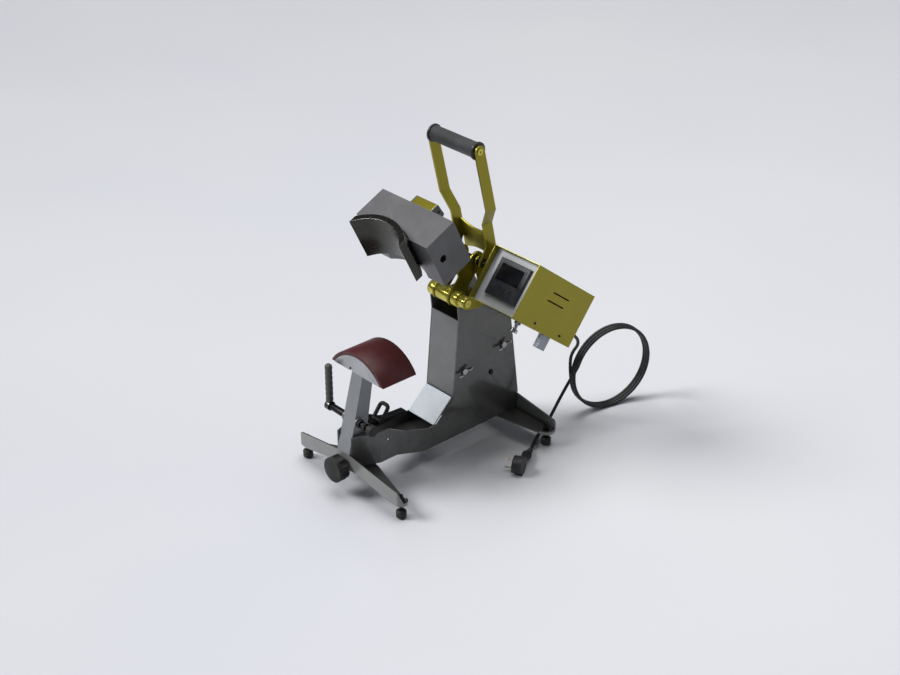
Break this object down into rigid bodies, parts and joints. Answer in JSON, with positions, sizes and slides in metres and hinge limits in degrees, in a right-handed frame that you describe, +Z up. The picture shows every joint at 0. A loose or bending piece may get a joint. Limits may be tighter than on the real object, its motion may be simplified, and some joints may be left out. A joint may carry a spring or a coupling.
{
  "type": "cap heat press",
  "caption": "Clamshell cap heat press: curved platen on a post, swing-down heated head, pull handle, tilted control box, coiled mains cord.",
  "frame": {"origin": "centre of the bounding box of the press without its cord, on the table plane under the rubber feet", "axes": "+Z up, -Y towards the operator at the front, +X to the right seen from the front"},
  "size_m": [0.3806, 0.773, 0.6979],
  "materials": {
    "box_bolt": "steel",
    "box_shell": "yellow zinc passivated",
    "bridge_floor_plate": "satin grey powder coat",
    "clamp_arm": "black oxide steel",
    "clamp_flanges": "satin grey powder coat",
    "clamp_hook": "black oxide steel",
    "clamp_knob": "black plastic",
    "clamp_lever": "steel",
    "clamp_shaft": "steel",
    "clamp_shaft_nuts": "steel",
    "column_back_plate": "satin grey powder coat",
    "column_front_plate": "satin grey powder coat",
    "controller": "black plastic",
    "controller_button_left": "dark grey",
    "controller_button_right": "dark grey",
    "cord_coil": "black rubber",
    "cord_gland": "black plastic",
    "cross_pins": "steel",
    "foot_studs_and_nuts": "steel",
    "front_foot_beam": "satin grey powder coat",
    "front_knob": "black plastic",
    "front_panel": "light grey",
    "front_screw": "steel",
    "grip_rod": "steel",
    "handle_bar_left": "yellow zinc passivated",
    "handle_bar_right": "yellow zinc passivated",
    "handle_bushes": "black plastic",
    "handle_grip": "black rubber",
    "handle_pivot_bolt": "steel",
    "handle_tie": "yellow zinc passivated",
    "head_arm_left": "yellow zinc passivated",
    "head_arm_right": "yellow zinc passivated",
    "head_block": "yellow zinc passivated",
    "head_cross_pin": "steel",
    "head_housing": "matt grey",
    "head_insulation": "mineral wool",
    "head_saddle": "matt grey",
    "heater_liner": "black fibre liner",
    "heating_plate": "black oxide steel",
    "heatsink": "machined",
    "housing_back_cover": "matt grey",
    "lever_grip": "black rubber",
    "lower_platen": "machined",
    "pivot_bolt": "steel",
    "pivot_sleeve": "yellow zinc passivated steel",
    "pivot_tubes": "yellow zinc passivated steel",
    "platen_post": "satin grey powder coat",
    "plug_body": "black plastic",
    "plug_pins": "steel",
    "power_cord": "black rubber",
    "rear_foot_beam": "satin grey powder coat",
    "rubber_feet": "black rubber",
    "side_plate_left": "satin grey powder coat",
    "side_plate_right": "satin grey powder coat",
    "silicone_pad": "maroon silicone",
    "sloped_cover": "pale blue-white enamel",
    "slotted_stays": "black oxide steel",
    "small_screws": "steel",
    "wing_bolt_front": "steel",
    "wing_bolt_rear": "steel"
  },
  "bodies": {
    "frame": {"box_bolt": "box_bolt", "box_shell": "box_shell", "bridge_floor_plate": "bridge_floor_plate", "clamp_flanges": "clamp_flanges", "column_back_plate": "column_back_plate", "column_front_plate": "column_front_plate", "controller": "controller", "cord_coil": "cord_coil", "cord_gland": "cord_gland", "cross_pins": "cross_pins", "foot_studs_and_nuts": "foot_studs_and_nuts", "front_foot_beam": "front_foot_beam", "front_panel": "front_panel", "heatsink": "heatsink", "lower_platen": "lower_platen", "pivot_bolt": "pivot_bolt", "pivot_tubes": "pivot_tubes", "platen_post": "platen_post", "plug_body": "plug_body", "plug_pins": "plug_pins", "power_cord": "power_cord", "rear_foot_beam": "rear_foot_beam", "rubber_feet": "rubber_feet", "side_plate_left": "side_plate_left", "side_plate_right": "side_plate_right", "silicone_pad": "silicone_pad", "sloped_cover": "sloped_cover", "small_screws": "small_screws"},
    "head": {"head_arm_left": "head_arm_left", "head_arm_right": "head_arm_right", "pivot_sleeve": "pivot_sleeve", "head_block": "head_block", "head_saddle": "head_saddle", "head_cross_pin": "head_cross_pin", "head_housing": "head_housing", "housing_back_cover": "housing_back_cover", "head_insulation": "head_insulation", "heating_plate": "heating_plate", "heater_liner": "heater_liner", "handle_pivot_bolt": "handle_pivot_bolt", "handle_bushes": "handle_bushes"},
    "handle": {"handle_bar_left": "handle_bar_left", "handle_bar_right": "handle_bar_right", "grip_rod": "grip_rod", "handle_grip": "handle_grip", "handle_tie": "handle_tie"},
    "stay": {"slotted_stays": "slotted_stays"},
    "clamp_handle": {"clamp_shaft": "clamp_shaft", "clamp_lever": "clamp_lever", "lever_grip": "lever_grip", "clamp_shaft_nuts": "clamp_shaft_nuts"},
    "clamp_knob": {"clamp_knob": "clamp_knob"},
    "clamp_arm": {"clamp_arm": "clamp_arm", "clamp_hook": "clamp_hook"},
    "front_knob": {"front_knob": "front_knob", "front_screw": "front_screw"},
    "button_left": {"controller_button_left": "controller_button_left"},
    "button_right": {"controller_button_right": "controller_button_right"},
    "wing_bolt_front": {"wing_bolt_front": "wing_bolt_front"},
    "wing_bolt_rear": {"wing_bolt_rear": "wing_bolt_rear"}
  },
  "joints": [
    {"name": "head_hinge", "type": "hinge", "parent": "frame", "child": "head", "pos_m": [-0.01025, 0.0363, 0.3545], "axis": [1, 0, 0], "range_deg": [0, 64.1]},
    {"name": "handle_hinge", "type": "hinge", "parent": "head", "child": "handle", "pos_m": [-0.01025, 0.09731, 0.419], "axis": [1, 0, 0], "range_deg": [0, 25]},
    {"name": "stay_hinge", "type": "hinge", "parent": "head", "child": "stay", "pos_m": [-0.01025, 0.09731, 0.419], "axis": [1, 0, 0], "range_deg": [-36, 0]},
    {"name": "clamp_lever_hinge", "type": "hinge", "parent": "frame", "child": "clamp_handle", "pos_m": [-0.08325, -0.21769, 0.159], "axis": [1, 0, 0], "range_deg": [0, 60]},
    {"name": "clamp_knob_spin", "type": "hinge", "parent": "clamp_handle", "child": "clamp_knob", "pos_m": [0.04175, -0.21769, 0.159], "axis": [1, 0, 0], "continuous": true},
    {"name": "clamp_arm_hinge", "type": "hinge", "parent": "frame", "child": "clamp_arm", "pos_m": [-0.01025, -0.20669, 0.129], "axis": [1, 0, 0], "range_deg": [0, 20]},
    {"name": "front_knob_spin", "type": "hinge", "parent": "frame", "child": "front_knob", "pos_m": [-0.01025, -0.24469, 0.061], "axis": [0, 1, 0], "continuous": true},
    {"name": "button_press_left", "type": "slide", "parent": "frame", "child": "button_left", "axis": [0, 0.788, -0.6157], "range_m": [0, 0.0012], "stiffness_N_per_m": 400},
    {"name": "button_press_right", "type": "slide", "parent": "frame", "child": "button_right", "axis": [0, 0.788, -0.6157], "range_m": [0, 0.0012], "stiffness_N_per_m": 400},
    {"name": "wing_bolt_spin_front", "type": "hinge", "parent": "frame", "child": "wing_bolt_front", "pos_m": [0.03225, 0.04331, 0.188], "axis": [1, 0, 0], "continuous": true},
    {"name": "wing_bolt_spin_rear", "type": "hinge", "parent": "frame", "child": "wing_bolt_rear", "pos_m": [0.03225, 0.1543, 0.2105], "axis": [1, 0, 0], "continuous": true}
  ],
  "couplings": [
    {"joint": "stay_hinge", "follows": "head_hinge", "ratio": -0.55254},
    {"joint": "clamp_arm_hinge", "follows": "clamp_lever_hinge", "ratio": 0.33333}
  ]
}
